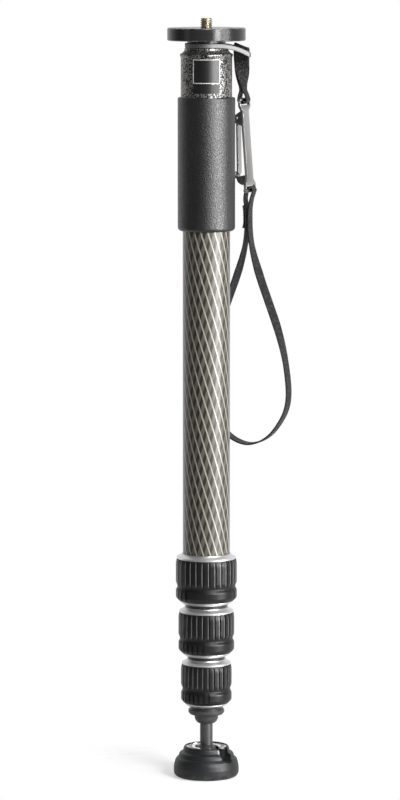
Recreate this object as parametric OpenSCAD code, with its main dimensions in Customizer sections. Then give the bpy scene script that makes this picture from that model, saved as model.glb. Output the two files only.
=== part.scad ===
// A four-section camera monopod, closed and standing on its swivel foot, with a wrist strap.
// Millimetres, +Z up. The origin is the middle of the foot's underside.

/* [Tubes] */
// Outer diameter of the main carbon tube
tube_d = 37; // [34:0.5:40]
// How much thinner each section is than the one around it, in diameter
tube_step = 4; // [3.8:0.1:4.4]
// Wall of every carbon tube
tube_wall = 1.4; // [1.2:0.05:1.5]
// Bare length of the main tube between the first lock and the grip
tube_bare = 254; // [230:1:290]
// Depth that the main tube runs into the head collar
tube_seat = 28; // [22:1:32]
// Room left above the nested tubes inside the main tube
nest_room = 6; // [4:0.5:20]
// Length of the guide bush on each inner tube
guide_l = 58; // [40:1:70]
// Depth of the anti-turn key grooves in a tube's bore
key_depth = 0.6; // [0.4:0.05:0.7]
// Width of a key groove
key_w = 5; // [3:0.5:7]

/* [Twist locks] */
// Height of the rubber on the first lock
lock_h = 33.6; // [30:0.1:36]
// How much shorter the rubber of each following lock is
lock_h_step = 1.2; // [0.6:0.1:1.6]
// Height of the bright ring above the rubber
ring_h = 3.9; // [3:0.1:6]
// Height of the bright lip below the rubber
lip_h = 2.5; // [2:0.1:3.2]
// Gap between a lock and the next piece down the stack
stack_gap = 2.7; // [2.2:0.1:4]
// Length of the threaded barrel inside a lock
barrel_l = 17; // [14:0.5:18]
// Wall of the threaded bush
bush_wall = 1.05; // [0.9:0.05:1.4]
// Wall of the nut
nut_wall = 1.2; // [1:0.05:1.6]
// Rubber left over the nut at the waist of the grip
rubber_min = 1.9; // [1.4:0.05:2.4]
// Rubber left over the nut at the foot of the grip
rubber_edge = 0.5; // [0.3:0.05:0.9]
// Height of the grip's ribbed bands above its waist
rib_h = 1.2; // [1:0.1:1.8]
// Height of the rounding at the foot of the rubber
foot_run = 3.6; // [2.4:0.1:5]
// Height of the rounding at the head of the rubber
head_run = 4.5; // [3:0.1:6]
// Height at which the lower band starts to fall to the waist
crest_z = 8; // [6.5:0.1:9]
// Height of the waist above the foot of the rubber
waist_z = 11.2; // [10:0.1:13]
// Height at which the upper band reaches its full size
crown_z = 15.6; // [14:0.1:20]
// Ribs round each grip
rib_n = 30; // [24:1:36]
// Width of the groove between two ribs
groove_w = 1.3; // [0.8:0.1:1.8]
// Depth of the groove between two ribs
groove_depth = 1; // [0.6:0.1:1.3]
// How far round the smooth pad in the lower band reaches, in degrees
pad_angle = 100; // [60:5:120]

/* [Head] */
// Outer diameter of the camera plate
disc_d = 61; // [50:0.5:70]
// Thickness of the camera plate
disc_t = 10; // [8:0.5:12]
// Chamfer round the camera plate's edges
disc_edge = 0.7; // [0.3:0.1:1.2]
// Diameter of the camera screw, 3/8 inch
stud_d = 9.525; // [9.5:0.005:9.55]
// Height of the camera screw above the plate
stud_h = 7.5; // [6:0.5:9]
// Diameter of the screw's other end, 1/4 inch
small_stud_d = 6.35; // [6.3:0.01:6.4]
// Length of the screw's other end
small_stud_l = 11; // [8:0.5:14]
// Diameter of the neck between plate and collar
neck_d = 30; // [26:0.5:32]
// Height of the neck
neck_h = 5.8; // [5.4:0.1:8]
// Diameter of the threaded stub that holds the plate in the collar
stub_d = 20; // [16:0.5:24]
// Circle on which the three set screws sit
set_screw_pcd = 42; // [38:0.5:46]
// Diameter of a set screw
set_screw_d = 4; // [3:0.5:5]
// Outer diameter of the collar
collar_d = 40; // [39.5:0.1:44]
// Height of the collar below its shoulder
collar_h = 33.4; // [32.5:0.1:40]
// Height of the sloped shoulder on the collar
shoulder_h = 4.6; // [3:0.1:6]
// How far the collar's top edge stands out from its side
collar_brim = 0.6; // [0.2:0.1:1.2]

/* [Name plates] */
// Width of the bare plate on the collar
plate_w = 20.5; // [14:0.5:26]
// Height of the bare plate
plate_h = 18.6; // [12:0.1:22]
// Width of the bare strip under it
strip_w = 20; // [12:0.5:24]
// Height of the bare strip
strip_h = 7.1; // [4:0.1:8]
// Thickness of both plates
plate_t = 0.4; // [0.3:0.05:0.8]
// Height of the strip's lower edge above the collar's foot
strip_z = 3.5; // [2:0.1:4]

/* [Grip] */
// Outer diameter of the rubber grip
grip_d = 44.8; // [42:0.2:50]
// Length of the grip
grip_l = 104; // [80:1:130]
// Rounding of the grip's lower edge
grip_round = 3; // [1:0.1:3.3]
// Rounding of the grip's upper edge
grip_top_round = 1; // [0.5:0.1:1.5]

/* [Foot] */
// Widest diameter of the rubber foot
pad_d = 51.5; // [51:0.5:56]
// Diameter of the flat that stands on the ground
pad_flat_d = 44; // [38:0.5:46]
// Height of the rubber foot's rim
pad_h = 24.2; // [23.6:0.1:25]
// Height of the ball's centre above the ground
ball_z = 17.6; // [17.2:0.1:18.4]
// Diameter of the ball
ball_d = 18; // [16.5:0.5:18.5]
// Diameter of the shaft
shaft_d = 10; // [8:0.5:10.5]
// Bare length of the shaft above the rim
shaft_bare = 18.2; // [17.8:0.1:26]
// Thickness of the plastic seat round the ball
seat_t = 1.6; // [1.2:0.1:2]
// Wall of the metal cup
cup_wall = 5.2; // [4.8:0.1:5.6]
// Rubber under the cup
pad_floor = 2.6; // [2:0.1:3]
// Direction of the slot, in degrees round the axis from +X
slot_angle = -42; // [-180:1:180]
// Farthest lean of the shaft into the slot, in degrees
lean_max = 85; // [60:1:85]
// Farthest lean of the shaft away from the slot, in degrees
lean_back = 20; // [10:1:22]
// Height of the end plug below the last tube
plug_h = 11.3; // [9.5:0.1:16]
// How far the plug's flange stands out past the tube
plug_rim = 1.7; // [0.8:0.1:2]
// Depth of the plug inside the last tube
plug_seat = 18; // [14:0.5:30]

/* [Strap] */
// Thickness of the band round the neck
band_t = 1.2; // [1:0.1:1.6]
// Height of the band
band_h = 3.7; // [3:0.1:4]
// How far the band's tip stands from the axis
band_reach = 34.5; // [33:0.1:38]
// How far the tip droops
band_droop = 7.5; // [5:0.1:9]
// Width of the webbing
web_w = 12; // [11:0.1:12.4]
// Thickness of the webbing
web_t = 1.3; // [1:0.05:1.5]

/* [Clip] */
// Thickness of the clip's plate
clip_t = 2.2; // [2:0.1:3]
// Width of the plate between its two eyes
clip_waist = 9.5; // [9:0.1:12]
// Diameter of the bars that the webbing goes round
eye_bar_d = 3.4; // [3:0.1:3.6]
// Thickness of the gate
gate_t = 1.8; // [1.4:0.1:2.2]
// Width of the gate
gate_w = 5.4; // [4.6:0.1:6.4]
// Diameter of the gate's pin
gate_pin_d = 2; // [1.6:0.1:2.2]

/* [Clearances] */
// Glue line between bonded pieces
bond = 0.05; // [0.02:0.01:0.1]
// Radial clearance of sliding fits
slide_clear = 0.1; // [0.05:0.01:0.1]
// Gap between pieces that move past each other
move_gap = 0.3; // [0.25:0.05:0.5]

/* [Hidden] */
$fn = 64;
LOCKS = [0, 1, 2];
INNER_TUBES = [1, 2, 3];

carbon = "dimgray";
alloy = "silver";
rubber = "darkslategray";
black = "black";
steel = "lightgray";

// Radii of the nested tubes, counted from the main tube, 0, to the last, 3
function tube_r(i) = (tube_d - i * tube_step) / 2;
function bore_r(i) = tube_r(i) - tube_wall;

// Heights up the stack, from the ground to the head
plug_z = pad_h + shaft_bare;
plug_top = plug_z + plug_h;
function rubber_h(i) = lock_h - i * lock_h_step;
function lip_z(i) = i == 2 ? plug_top + stack_gap : ring_top(i + 1) + stack_gap;
function rubber_z(i) = lip_z(i) + lip_h;
function ring_z(i) = rubber_z(i) + rubber_h(i);
function ring_top(i) = ring_z(i) + ring_h;
grip_z = ring_top(0) + tube_bare;
collar_z = grip_z + grip_l;
brim_z = collar_z + collar_h;
collar_top = brim_z + shoulder_h;
disc_z = collar_top + neck_h;
disc_top = disc_z + disc_t;

// Ends of the tubes
guide_cap = 1.5;
function tube_z(i) = i == 3 ? plug_top : ring_z(i) - barrel_l;
section_l = collar_z + tube_seat - nest_room - guide_cap - tube_z(1);
function tube_top(i) = i == 0 ? collar_z + tube_seat : tube_z(i) + section_l;

// Radii inside a lock, from the tube out to the rubber
function barrel_r(i) = tube_r(i) + bond + bush_wall;
function nut_bore(i) = barrel_r(i) + slide_clear;
function nut_r(i) = nut_bore(i) + nut_wall;
function waist_r(i) = nut_r(i) + rubber_min;
function lock_r(i) = waist_r(i) + rib_h;
ring_inset = 0.8;
seal_seat_h = 1.5;
seal_drop = 0.9;
seal_w = 1.25;
collet_foot = 1;
collet_z0 = seal_seat_h + 1.3;
cone_gap = 0.25;
// Turn of each grip's smooth pad from +X, as the locks were left
PAD_TURN = [-76, -38, -30];

// The camera screw's shank inside the plate
shank_r = stud_d / 2 - 0.4;
relief_r = stud_d / 2 + 0.3;
relief_h = 1.2;

// Foot
ball_r = ball_d / 2;
shaft_r = shaft_d / 2;
seat_r = ball_r + slide_clear + seat_t;
socket_r = seat_r + slide_clear;
cup_r = socket_r + cup_wall;
cup_ring_r = socket_r + 2.1;
cup_top = pad_h - 0.6;
cup_ring_h = 4.4;
cup_ring_z = cup_top - cup_ring_h;
// The seat goes this far under the ball's middle, and this far above it
seat_low = 7;
seat_high = 2.6;
// A groove in the metal round the mouth leaves two bright rims
cup_rim_w = 1.4;
mouth_groove_w = 0.8;
mouth_groove_z = cup_top - 1.3;
// Side of the foot pad: how far in from its widest, and how far under its top
PAD_SIDE = [
    [0, 16.5], [0.6, 13.2], [1.4, 10.6], [2.4, 9.4], [3.7, 8.6], [4.1, 6.6], [4.9, 5.3], [6.3, 4.6], [7.3, 4],
    [7.6, 2.2], [8, 1], [8.6, 0.2]
];
// Mouth of the foot pad: how far out from its cup, and how far under its top
PAD_MOUTH = [[0.4, 0], [0, 0]];
slot_r = shaft_r + 2 * move_gap;
slot_z = ball_z + socket_r / tan(lean_max);
shaft_thread_r = shaft_r - 1;
shaft_thread_l = plug_h + 5;

// Band round the neck: an arc, two straight strands and a square tip with small corners
band_gap = 0.6;
band_r = neck_d / 2 + band_gap + band_t / 2;
band_corner_r = 2.5;
band_tip_half = 6.5;
band_corner = [band_reach - band_t / 2 - band_corner_r, band_tip_half - band_corner_r];
band_mid_z = collar_top + move_gap + band_h / 2;

// Webbing and clip: the strap hangs in an upright plane turned towards the front
strap_turn = -30;
strap_mid = [33, 11];
clip_l = 71;
clip_foot = [34.2, 11, 463];
clip_lean = 4.65;
eye_gap = 0.45;
eye_bar_r = eye_bar_d / 2;
eye_half = web_w / 2 + 0.4;
eye_arm = 1.5;
eye_room = eye_bar_r + web_t + 2 * eye_gap + 0.3;
wrap_r = eye_bar_r + eye_gap + web_t / 2;
// The webbing lies loosely round the bars, a little askew and drawn together
wrap_u = wrap_r + 0.85;
wrap_skew = 12;
wrap_share = 0.8;
gate_pivot = [-6, 57];
gate_foot = [-8.8, 12.6];
ear_t = 1.4;
hook_reach = 11.4;

// One side of the wrist loop: distance from the strap's middle, and height
WRIST_SIDE = [
    [2.7, 456], [1.4, 448.5], [1.1, 440], [1.4, 432], [2.6, 422], [5.6, 410], [11.4, 393], [18.6, 375], [26.4, 355],
    [32.2, 335], [35.4, 316], [36, 302], [33.6, 291], [28, 281], [20.4, 272], [11, 266]
];
WRIST_FOOT = [0, 263.5];
// How far the wrist loop's webbing turns out of square with its plane, by height
WRIST_TWIST = [[330, 10], [360, 0], [400, 0], [420, wrap_skew]];
// How much of its width the wrist loop's webbing keeps, by height
WRIST_SHARE = [[438, 1], [456, wrap_share]];
// One layer of the short loop: height, turn from +X and tilt of the webbing in degrees, half the gap between layers,
// and how much of its width the webbing keeps
LINK_LAYER = [
    [574.2, -18, 22, 1.8, 1], [569.5, -18, 22, 1.75, 1], [566, -14, 18, 1.35, 1], [560, 4, 10, 1.05, 0.97],
    [552, 34, 4, 1, 0.9], [545, 62, 0, 1, 0.82], [541, 70, 0, 1.3, 0.8], [537.5, 72, 0, 2.6, 0.8]
];
LINK_FOLD_Z = 575.8;
// Height below which the short loop swings over to the clip
LINK_SWING_Z = 565;
LINK_TOP = [27.3, 8.0];

function unit(v) = v / norm(v);
function last(list) = list[len(list) - 1];
function reversed(list) = [for (i = [len(list) - 1:-1:0]) list[i]];
function polar(r, angle) = [r * cos(angle), r * sin(angle)];
function lerp(a, b, t) = a + (b - a) * t;

// A smooth step from a to b, as t goes from 0 to 1
function ease(a, b, t) = lerp(a, b, (1 - cos(180 * t)) / 2);

// Revolves an outline of [radius, height] points
module turned(outline) {
    rotate_extrude($fn = 96) polygon(outline);
}

module tube_ring(r_in, r_out, z0, z1) {
    turned([[r_in, z0], [r_out, z0], [r_out, z1], [r_in, z1]]);
}

// Three blocks round the axis, from one radius to another
module key_blocks(r0, r1, w, z0, z1) {
    for (k = [0:2])
        rotate(k * 120 + 30) translate([r0, -w / 2, z0]) cube([r1 - r0, w, z1 - z0]);
}

module camera_screw() {
    edge = 0.8;
    stud_r = stud_d / 2;
    small_r = small_stud_d / 2;
    step_z = disc_z + 1;
    color("goldenrod") turned([
        [0, step_z - small_stud_l], [small_r, step_z - small_stud_l], [small_r, step_z], [shank_r, step_z],
        [shank_r, disc_top + bond], [stud_r, disc_top + bond], [stud_r, disc_top + stud_h - edge],
        [stud_r - edge, disc_top + stud_h], [0, disc_top + stud_h]
    ]);
}

module head_disc() {
    hole_r = shank_r + bond;
    small_r = small_stud_d / 2 + bond;
    step_z = disc_z + 1;
    stub_z = collar_top - shoulder_h - 1;
    color(black) difference() {
        turned([
            [0, stub_z], [stub_d / 2, stub_z], [stub_d / 2, collar_top], [neck_d / 2, collar_top],
            [neck_d / 2, disc_z], [disc_d / 2 - disc_edge, disc_z], [disc_d / 2, disc_z + disc_edge],
            [disc_d / 2, disc_top - disc_edge], [disc_d / 2 - disc_edge, disc_top], [0, disc_top]
        ]);
        translate([0, 0, step_z]) cylinder(r = hole_r, h = disc_t);
        translate([0, 0, disc_top - relief_h]) cylinder(r = relief_r, h = disc_t);
        translate([0, 0, step_z - small_stud_l - 1]) cylinder(r = small_r, h = small_stud_l + 2);
        set_screw_places() translate([0, 0, disc_z - 1]) cylinder(d = set_screw_d + 2 * bond, h = disc_t + 2);
    }
}

module set_screw_places() {
    for (k = [0:2]) rotate(k * 120 + 90) translate([set_screw_pcd / 2, 0, 0]) children();
}

module disc_set_screws() {
    sunk = 0.4;
    socket_af = set_screw_d / 2;
    color(steel) set_screw_places() difference() {
        translate([0, 0, disc_z + sunk]) cylinder(d = set_screw_d, h = disc_t - 2 * sunk);
        translate([0, 0, disc_z]) cylinder(d = socket_af / cos(30), h = disc_t / 3, $fn = 6);
    }
}

module head_collar() {
    bore = tube_r(0) + bond;
    side = collar_d / 2;
    brim = side + collar_brim;
    throat = neck_d / 2 + 2;
    shoulder = [
        for (t = [1:-0.2:0]) [throat + (brim - throat) * pow(t, 2.5), collar_top - shoulder_h * t]
    ];
    color("slategray") turned(concat(
        [[bore, collar_z], [side, collar_z], [side, brim_z - 3], [brim, brim_z - 1]], shoulder,
        [[stub_d / 2 + bond, collar_top], [stub_d / 2 + bond, tube_top(0)], [bore, tube_top(0)]]
    ));
}

// A thin plate bent round the front of the collar
module collar_plate(w, z0, z1) {
    r = collar_d / 2 + bond;
    half = asin(w / 2 / r);
    rotate(-90 - half) rotate_extrude(angle = 2 * half, $fn = 96)
        polygon([[r, z0], [r + plate_t, z0], [r + plate_t, z1], [r, z1]]);
}

module name_plate() {
    z0 = collar_z + strip_z + strip_h + 0.6;
    color(black) collar_plate(plate_w, z0, z0 + plate_h);
}

module name_strip() {
    color(black) collar_plate(strip_w, collar_z + strip_z, collar_z + strip_z + strip_h);
}

module grip_sleeve() {
    r_in = tube_r(0) + bond;
    r_out = grip_d / 2;
    lower = [for (a = [-90:15:0]) [r_out - grip_round, grip_z + grip_round] + polar(grip_round, a)];
    upper = [for (a = [0:30:90]) [r_out - grip_top_round, collar_z - grip_top_round] + polar(grip_top_round, a)];
    color(rubber) turned(concat([[r_in, grip_z]], lower, upper, [[r_in, collar_z]]));
}

module tube(i) {
    color(carbon) difference() {
        tube_ring(bore_r(i), tube_r(i), tube_z(i), tube_top(i));
        if (i < 3) intersection() {
            cylinder(r = bore_r(i) + key_depth, h = tube_top(i) + 1);
            key_blocks(bore_r(i) - 1, tube_r(i), key_w, tube_z(i) - 1, tube_top(i) + 1);
        }
    }
}

// Bonded round the top of an inner tube, it slides in the bore of the tube outside
module guide(i) {
    r_in = tube_r(i) + bond;
    r_out = bore_r(i - 1) - slide_clear;
    key_r = bore_r(i - 1) + key_depth - slide_clear;
    z1 = tube_top(i) + guide_cap;
    z0 = z1 - guide_l;
    color(black) union() {
        turned([
            [r_in, z0], [r_out, z0], [r_out, z1], [bore_r(i), z1], [bore_r(i), tube_top(i)], [r_in, tube_top(i)]
        ]);
        intersection() {
            tube_ring((r_in + r_out) / 2, key_r, z0, z1);
            key_blocks(r_in, key_r + 1, key_w - 2 * slide_clear, z0, z1);
        }
    }
}

module lock_bush(i) {
    r = tube_r(i);
    rim = lock_r(i) - ring_inset;
    z0 = ring_z(i);
    z1 = ring_top(i);
    color(alloy) turned([
        [r + bond, tube_z(i)], [barrel_r(i), tube_z(i)], [barrel_r(i), z0], [rim, z0], [rim, z0 + 0.3 * ring_h],
        [rim - 0.5, z0 + 0.36 * ring_h], [r + 1.1, z1 - 0.8], [r + 0.7, z1], [r + bond, z1]
    ]);
}

module lock_collet(i) {
    r_in = tube_r(i + 1) + slide_clear;
    foot_r = tube_r(i + 1) + collet_foot;
    head_r = barrel_r(i) - 0.4;
    z0 = lip_z(i) + collet_z0;
    z1 = tube_z(i) - 0.8;
    slit = 1.2;
    color("whitesmoke") difference() {
        turned([[r_in, z0], [foot_r, z0], [head_r, z1 - 3], [head_r, z1], [r_in, z1]]);
        for (k = [0:2])
            rotate(k * 120) translate([0, -slit / 2, z0 - 1]) cube([head_r + 1, slit, z1 - z0 - 1.5]);
    }
}

module lock_nut(i) {
    tube_in = tube_r(i + 1);
    z0 = lip_z(i);
    z1 = ring_z(i) - move_gap;
    collet_top = tube_z(i) - 0.8;
    color(alloy) turned([
        [tube_in + seal_w + bond, z0], [tube_in + 2, z0], [nut_r(i), z0 + 0.65 * lip_h], [nut_r(i), z1],
        [nut_bore(i), z1], [nut_bore(i), collet_top - 2.6], [barrel_r(i) - 0.4 + cone_gap, collet_top - 3],
        [tube_in + collet_foot + cone_gap, z0 + collet_z0], [tube_in + 0.4, z0 + collet_z0 - cone_gap],
        [tube_in + 0.4, z0 + seal_seat_h], [tube_in + seal_w + bond, z0 + seal_seat_h]
    ]);
}

module lock_seal(i) {
    r_in = tube_r(i + 1) + slide_clear;
    z0 = lip_z(i) - seal_drop;
    z1 = lip_z(i);
    color(black) turned([
        [r_in, z0], [r_in + 0.6, z0], [r_in + 0.9, z0 + 0.3], [r_in + 0.9, z1],
        [tube_r(i + 1) + seal_w, z1], [tube_r(i + 1) + seal_w, z1 + seal_seat_h - bond],
        [r_in, z1 + seal_seat_h - bond]
    ]);
}

// Radius of a lock's rubber at height z above its foot
function grip_r(i, z, h) =
    let (r = lock_r(i), foot = nut_r(i) + rubber_edge, head = r - 0.7)
    z < foot_run ? lerp(foot, r, sin(90 * z / foot_run)) :
    z < crest_z ? r :
    z < waist_z ? ease(r, waist_r(i), (z - crest_z) / (waist_z - crest_z)) :
    z < crown_z ? ease(waist_r(i), r, (z - waist_z) / (crown_z - waist_z)) :
    z < h - head_run ? r : lerp(r, head, 1 - cos(90 * (z - h + head_run) / head_run));

// Heights at which the rubber's side bends, from its foot to its head
function grip_levels(h) = concat(
    [for (k = [0:5]) foot_run * k / 5], [for (k = [0:4]) lerp(crest_z, waist_z, k / 4)],
    [for (k = [1:5]) lerp(waist_z, crown_z, k / 5)], [for (k = [5:-1:0]) h - head_run * k / 5]
);

// Angle between two headings, 0 to 180
function turn_between(a, b) = abs(((a - b) % 360 + 540) % 360 - 180);
// Two smooth pads face each other across the grip
function on_pad(i, angle) = min(turn_between(angle, PAD_TURN[i]), turn_between(angle, PAD_TURN[i] + 180)) < pad_angle / 2;

module lock_grip(i) {
    h = rubber_h(i) - move_gap;
    z0 = rubber_z(i);
    side = [for (z = grip_levels(h)) [grip_r(i, z, h), z0 + z]];
    floor_r = lock_r(i) - groove_depth;
    margin = 1.2;
    color(rubber) difference() {
        turned(concat([[nut_r(i) + bond, z0]], side, [[nut_r(i) + bond, z0 + h]]));
        for (k = [0:rib_n - 1])
            let (angle = k * 360 / rib_n, from = on_pad(i, angle) ? waist_z : margin)
            rotate(angle) translate([floor_r, -groove_w / 2, z0 + from])
                cube([groove_depth + 1, groove_w, h - from + 1]);
    }
}

module end_plug() {
    foot_r = shaft_r + 0.4;
    dome_r = bore_r(3) - 1.7;
    rim_r = tube_r(3) + plug_rim;
    spigot_r = bore_r(3) - bond;
    dome = [for (a = [0:15:90]) [foot_r + (dome_r - foot_r) * sin(a), plug_z + plug_h / 2 * (1 - cos(a))]];
    thread_r = shaft_thread_r + bond;
    color("darkslategray") turned(concat([[thread_r, plug_z]], dome, [
        [dome_r + 0.4, plug_top - 4.6], [rim_r - 1.2, plug_top - 3.9], [rim_r, plug_top - 2.4],
        [rim_r, plug_top - 0.4], [rim_r - 0.4, plug_top], [spigot_r, plug_top], [spigot_r, plug_top + plug_seat],
        [thread_r, plug_top + plug_seat]
    ]));
}

module foot_shaft() {
    color(steel) union() {
        translate([0, 0, ball_z]) sphere(r = ball_r, $fn = 96);
        translate([0, 0, ball_z]) cylinder(r = shaft_r, h = plug_z - ball_z);
        translate([0, 0, ball_z]) cylinder(r = shaft_thread_r, h = plug_z - ball_z + shaft_thread_l);
    }
}

module ball_seat() {
    color("whitesmoke") intersection() {
        translate([0, 0, ball_z]) difference() {
            sphere(r = seat_r, $fn = 96);
            sphere(r = ball_r + slide_clear, $fn = 96);
        }
        translate([0, 0, ball_z - seat_low]) cylinder(r = seat_r + 1, h = seat_low + seat_high);
    }
}

// The way that the shaft takes as the foot leans: a round-bottomed slot to one side
module shaft_slot() {
    reach = pad_d / 2 + 1;
    rotate(slot_angle) translate([0, 0, slot_z]) {
        rotate([0, 90, 0]) cylinder(r = slot_r, h = reach);
        translate([0, -slot_r, 0]) cube([reach, 2 * slot_r, pad_h]);
    }
}

module foot_cup() {
    color(steel) difference() {
        translate([0, 0, pad_floor]) cylinder(r = cup_r, h = cup_top - pad_floor);
        translate([0, 0, ball_z]) sphere(r = socket_r, $fn = 96);
        translate([0, 0, ball_z]) cylinder(r = socket_r, h = pad_h);
        translate([0, 0, cup_ring_z]) cylinder(r = cup_ring_r, h = pad_h);
        translate([0, 0, mouth_groove_z]) cylinder(r = cup_r - cup_rim_w, h = pad_h);
        shaft_slot();
    }
}

// Screwed into the cup above the ball, open at the slot; its underside follows the seat
module cup_ring() {
    low_h = cup_ring_z - ball_z;
    mouth_h = cup_top - 0.1 - ball_z;
    outer = cup_ring_r - bond;
    rim = outer - mouth_groove_w;
    under = [for (t = [1:-0.125:-0.01]) let (h = lerp(low_h, mouth_h, t)) [sqrt(pow(socket_r, 2) - h * h), ball_z + h]];
    color(steel) difference() {
        turned(concat(
            [[outer, cup_ring_z], [outer, mouth_groove_z], [rim, mouth_groove_z], [rim - 0.3, ball_z + mouth_h]], under
        ));
        shaft_slot();
    }
}

module foot_pad() {
    r = pad_d / 2;
    rim = cup_r + bond;
    edge = (pad_d - pad_flat_d) / 2;
    sole = [for (a = [-90:18:0]) [r - edge, edge] + polar(edge, a)];
    color(rubber) difference() {
        turned(concat(
            [[0, 0]], sole, [for (p = PAD_SIDE) [r - p.x, pad_h - p.y]],
            [for (p = PAD_MOUTH) [rim + p.x, pad_h - p.y]], [[rim, pad_floor], [0, pad_floor]]
        ));
        shaft_slot();
    }
}

// Joins rings of points into one closed skin; a loop's last ring meets its first
module skin(rings) {
    n = len(rings);
    m = len(rings[0]);
    points = [for (ring = rings) each ring];
    faces = [
        for (i = [0:n - 1], k = [0:m - 1])
        let (a = i * m + k, b = i * m + (k + 1) % m, c = (i + 1) % n * m + (k + 1) % m, d = (i + 1) % n * m + k)
        each [[a, c, b], [a, d, c]]
    ];
    polyhedron(points, faces, convexity = 10);
}

// Rings of a flat section round a closed route: wide gives the direction of the section's width at each point, and
// share how much of that width it keeps there
function flat_rings(route, wide, section, share) =
    let (n = len(route))
    [for (i = [0:n - 1])
        let (
            along = unit(route[(i + 1) % n] - route[(i + n - 1) % n]),
            out = unit(cross(along, wide[i])),
            across = cross(out, along)
        )
        [for (p = section) route[i] + across * p.x * share[i] + out * p.y]
    ];

// A flat strip with eased edges
function strip_section(w, t) =
    let (x = w / 2, y = t / 2, e = t / 4)
    [[-x, -y + e], [-x + e, -y], [x - e, -y], [x, -y + e], [x, y - e], [x - e, y], [-x + e, y], [-x, y - e]];

// Plan of the band, from the front corner of its tip round the neck and back
function band_plan() =
    let (
        base = atan2(band_corner.y, band_corner.x),
        split = acos((band_r - band_corner_r) / norm(band_corner)),
        meet = base + split,
        back = [for (a = [meet:(360 - 2 * meet) / 24:360 - meet + 0.01]) polar(band_r, a)],
        corner = [for (a = [0:meet / 4:meet + 0.01]) band_corner + polar(band_corner_r, a)],
        strand = [for (t = [0.2:0.2:0.8]) lerp(last(corner), back[0], t)],
        side = concat(corner, strand),
        mirrored = [for (p = reversed(side)) [p.x, -p.y]]
    )
    concat(side, back, mirrored);

// The band lies level round the neck and droops towards its tip
function band_height(p) =
    let (t = max(0, (norm(p) - band_r) / (band_reach - band_r)))
    band_mid_z - band_droop * pow(t, 1.5);

module strap_ring() {
    route = [for (p = band_plan()) [p.x, p.y, band_height(p)]];
    wide = [for (p = route) [0, 0, 1]];
    color(steel) skin(flat_rings(route, wide, strip_section(band_h, band_t), [for (p = route) 1]));
}

// A point of the strap's plane: distance from its middle, and height
function in_strap_plane(u, z) = [strap_mid.x, strap_mid.y, z] + u * [cos(strap_turn), sin(strap_turn), 0];

// A point of the clip in its own plane: u outwards, h up from the lower bar
function on_clip(u, h) =
    let (out = u * cos(clip_lean) - h * sin(clip_lean))
    clip_foot + [out * cos(strap_turn), out * sin(strap_turn), h * cos(clip_lean) + u * sin(clip_lean)];

module in_clip_frame() {
    translate(clip_foot) rotate([0, 0, strap_turn]) rotate([0, -clip_lean, 0]) children();
}

module wrist_loop() {
    side = [for (p = WRIST_SIDE) in_strap_plane(p.x, p.y)];
    other = [for (p = reversed(WRIST_SIDE)) in_strap_plane(-p.x, p.y)];
    // Round the clip's lower bar, from one side over the top to the other
    wrap = [for (a = [200:-40:-20]) on_clip(wrap_u * cos(a), wrap_r * sin(a))];
    route = concat(side, [in_strap_plane(WRIST_FOOT.x, WRIST_FOOT.y)], other, wrap);
    wide = [for (p = route) let (turn = strap_turn + lookup(p.z, WRIST_TWIST)) [-sin(turn), cos(turn), 0]];
    share = [for (p = route) lookup(p.z, WRIST_SHARE)];
    color(black) skin(flat_rings(route, wide, strip_section(web_w, web_t), share));
}

module strap_link() {
    bar = on_clip(0, clip_l);
    layer = function (side) [
        for (row = LINK_LAYER)
        let (mid = lerp([bar.x, bar.y], LINK_TOP, min(1, (row[0] - bar.z) / (LINK_SWING_Z - bar.z))))
        [each (mid + side * row[3] * [-sin(row[1]), cos(row[1])]), row[0]]
    ];
    wrap = [for (a = [0:-36:-180]) on_clip(wrap_u * cos(a), clip_l + wrap_r * sin(a))];
    fold = [[each LINK_TOP, LINK_FOLD_Z]];
    lie = [for (row = LINK_LAYER) [row[1], row[2], row[4]]];
    lies = concat(lie, [for (p = wrap) [90 + strap_turn + wrap_skew, 0, wrap_share]], reversed(lie), [lie[0]]);
    wide = [for (a = lies) [cos(a[0]) * cos(a[1]), sin(a[0]) * cos(a[1]), -sin(a[1])]];
    route = concat(layer(-1), wrap, reversed(layer(1)), fold);
    share = [for (a = lies) a[2]];
    color(black) skin(flat_rings(route, wide, strip_section(web_w, web_t), share));
}

// The plate's outline, across its width and up its length, with an eye at each end
module clip_outline() {
    end = eye_half + eye_arm;
    half = clip_waist / 2;
    shoulder = eye_room + 5;
    difference() {
        polygon([
            [-end, 0], [end, 0], [end, eye_room + 1], [half, shoulder], [half, clip_l - shoulder],
            [end, clip_l - eye_room - 1], [end, clip_l], [-end, clip_l], [-end, clip_l - eye_room - 1],
            [-half, clip_l - shoulder], [-half, shoulder], [-end, eye_room + 1]
        ]);
        translate([-eye_half, -1]) square([2 * eye_half, eye_room + 1]);
        translate([-eye_half, clip_l - eye_room]) square([2 * eye_half, eye_room + 1]);
    }
}

module eye_bar(h) {
    translate([0, 0, h]) rotate([90, 0, 0])
        cylinder(d = eye_bar_d, h = 2 * (eye_half + eye_arm), center = true);
}

// Extrudes an outline of the clip's own plane across the clip
module across_clip(w) {
    rotate([90, 0, 0]) linear_extrude(w, center = true) children();
}

module clip_hook() {
    lip_in = gate_foot.x - gate_t / 2 - move_gap;
    arc = [for (a = [0:15:90]) [-1 - (hook_reach - 3) * sin(a), 4 + 5.5 * (1 - cos(a))]];
    across_clip(gate_w + 2) polygon(concat([[0, 4]], arc, [
        [-hook_reach, 11.2], [-hook_reach, 15], [lip_in, 15.6], [lip_in, 12], [gate_foot.x + 1, 11.4], [0, 12.5]
    ]));
}

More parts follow.
